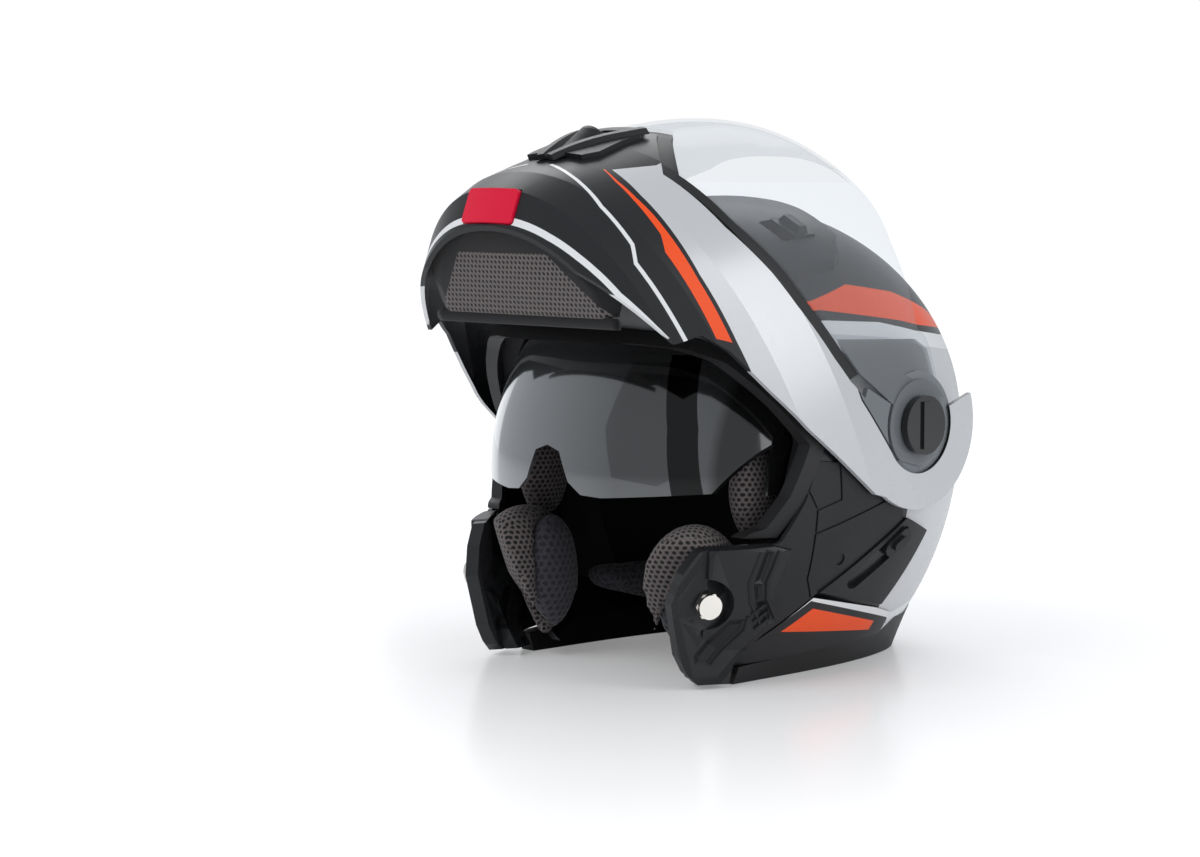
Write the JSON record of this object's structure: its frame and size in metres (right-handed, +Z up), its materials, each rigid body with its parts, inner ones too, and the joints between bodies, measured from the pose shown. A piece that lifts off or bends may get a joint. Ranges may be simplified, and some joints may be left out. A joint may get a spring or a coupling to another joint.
{
  "type": "modular flip-up motorcycle helmet",
  "caption": "Flip-up road helmet with its chin bar and clear visor raised, a drop-down smoked sun visor, padded cheeks and bright lock studs.",
  "frame": {"origin": "on the level the helmet stands on, under the middle of its outer box with the chin bar raised", "axes": "+Z up, -Y the way the wearer looks, +X towards the wearer's left"},
  "size_m": [0.2812, 0.324, 0.3023],
  "materials": {
    "shell_paint": "glossy silver lacquer",
    "shell_black": "satin black moulding",
    "liner_foam": "dark expanded foam",
    "pad_mesh": "open mesh knit",
    "pad_lining": "dimpled smooth knit",
    "trim_rubber": "soft satin trim",
    "bright_metal": "bright plated steel",
    "button_red": "red moulding",
    "clear_screen": "clear polycarbonate",
    "smoke_screen": "smoked mirror polycarbonate"
  },
  "bodies": {
    "helmet": {"outer_shell": "shell_paint", "impact_liner": "liner_foam", "crown_pad": "pad_mesh", "eyeport_trim": "trim_rubber", "base_trim": "trim_rubber", "crown_cover": "shell_black", "neck_roll": "pad_mesh", "side_panel_left": "shell_black", "side_panel_right": "shell_black", "lower_panel_left": "shell_black", "lower_panel_right": "shell_black", "panel_screw_left": "bright_metal", "panel_screw_right": "bright_metal", "lock_cover_left": "shell_black", "lock_cover_right": "shell_black", "lock_stud_left": "bright_metal", "lock_stud_right": "bright_metal", "slider_plate_left": "shell_black", "slider_plate_right": "shell_black", "sun_visor_boss_left": "shell_black", "sun_visor_boss_right": "shell_black", "cheek_pad_left": "pad_mesh", "cheek_pad_right": "pad_mesh", "cheek_lining_left": "pad_lining", "cheek_lining_right": "pad_lining", "temple_pad_left": "pad_mesh", "temple_pad_right": "pad_mesh", "pivot_hub_left": "shell_black", "pivot_hub_right": "shell_black"},
    "sun_visor": {"sun_visor": "smoke_screen"},
    "sun_visor_slider": {"sun_visor_slider": "shell_black"},
    "top_vent_slider_left": {"top_vent_slider_left": "shell_black"},
    "top_vent_slider_right": {"top_vent_slider_right": "shell_black"},
    "chin_bar": {"chin_bar_shell": "shell_paint", "chin_bar_liner": "liner_foam", "chin_curtain": "pad_mesh", "curtain_band": "shell_black", "chin_vent_cover": "shell_black", "visor_gasket": "trim_rubber", "ear_plate_left": "shell_black", "ear_plate_right": "shell_black"},
    "release_button": {"release_button": "button_red"},
    "latch_left": {"latch_left": "bright_metal"},
    "latch_right": {"latch_right": "bright_metal"},
    "chin_vent_slider": {"chin_vent_slider": "shell_black"},
    "visor": {"visor": "clear_screen"},
    "pivot_knob_left": {"pivot_knob_left": "shell_black"},
    "pivot_knob_right": {"pivot_knob_right": "shell_black"}
  },
  "joints": [
    {"name": "chin_bar_lift", "type": "hinge", "parent": "helmet", "child": "chin_bar", "pos_m": [0, 0.03299, 0.137], "axis": [-1, 0, 0], "range_deg": [-66, 0]},
    {"name": "visor_lift", "type": "hinge", "parent": "chin_bar", "child": "visor", "pos_m": [0, 0.03299, 0.137], "axis": [-1, 0, 0], "range_deg": [0, 45]},
    {"name": "sun_visor_slide", "type": "slide", "parent": "helmet", "child": "sun_visor_slider", "axis": [-0.1868, -0.8047, -0.5635], "range_m": [0, 0.024]},
    {"name": "sun_visor_lift", "type": "hinge", "parent": "helmet", "child": "sun_visor", "pos_m": [0, 0.00799, 0.108], "axis": [-1, 0, 0], "range_deg": [0, 40.01]},
    {"name": "top_vent_left", "type": "slide", "parent": "helmet", "child": "top_vent_slider_left", "axis": [-0.0457, -0.9953, -0.0858], "range_m": [0, 0.008]},
    {"name": "top_vent_right", "type": "slide", "parent": "helmet", "child": "top_vent_slider_right", "axis": [0.0457, -0.9953, -0.0858], "range_m": [0, 0.008]},
    {"name": "release_press", "type": "slide", "parent": "chin_bar", "child": "release_button", "axis": [0, 0.9349, -0.3548], "range_m": [0, 0.003], "stiffness_N_per_m": 900, "springref_m": -0.001},
    {"name": "latch_left_turn", "type": "hinge", "parent": "chin_bar", "child": "latch_left", "pos_m": [0.08145, -0.11132, 0.21518], "axis": [0.9329, -0.2479, 0.2613], "range_deg": [0, 12.01]},
    {"name": "latch_right_turn", "type": "hinge", "parent": "chin_bar", "child": "latch_right", "pos_m": [-0.08145, -0.11132, 0.21518], "axis": [0.9329, 0.2479, -0.2613], "range_deg": [0, 12.01]},
    {"name": "chin_vent_slide", "type": "slide", "parent": "chin_bar", "child": "chin_vent_slider", "axis": [0, 0.9714, 0.2374], "range_m": [0, 0.008]},
    {"name": "knob_left_turn", "type": "hinge", "parent": "helmet", "child": "pivot_knob_left", "pos_m": [0, 0.03299, 0.137], "axis": [1, 0, 0], "range_deg": [0, 90]},
    {"name": "knob_right_turn", "type": "hinge", "parent": "helmet", "child": "pivot_knob_right", "pos_m": [0, 0.03299, 0.137], "axis": [-1, 0, 0], "range_deg": [0, 90]}
  ],
  "couplings": [
    {"joint": "sun_visor_lift", "follows": "sun_visor_slide", "rad_per_m": 29.089},
    {"joint": "latch_left_turn", "follows": "release_press", "rad_per_m": 69.813},
    {"joint": "latch_right_turn", "follows": "release_press", "rad_per_m": 69.813}
  ]
}
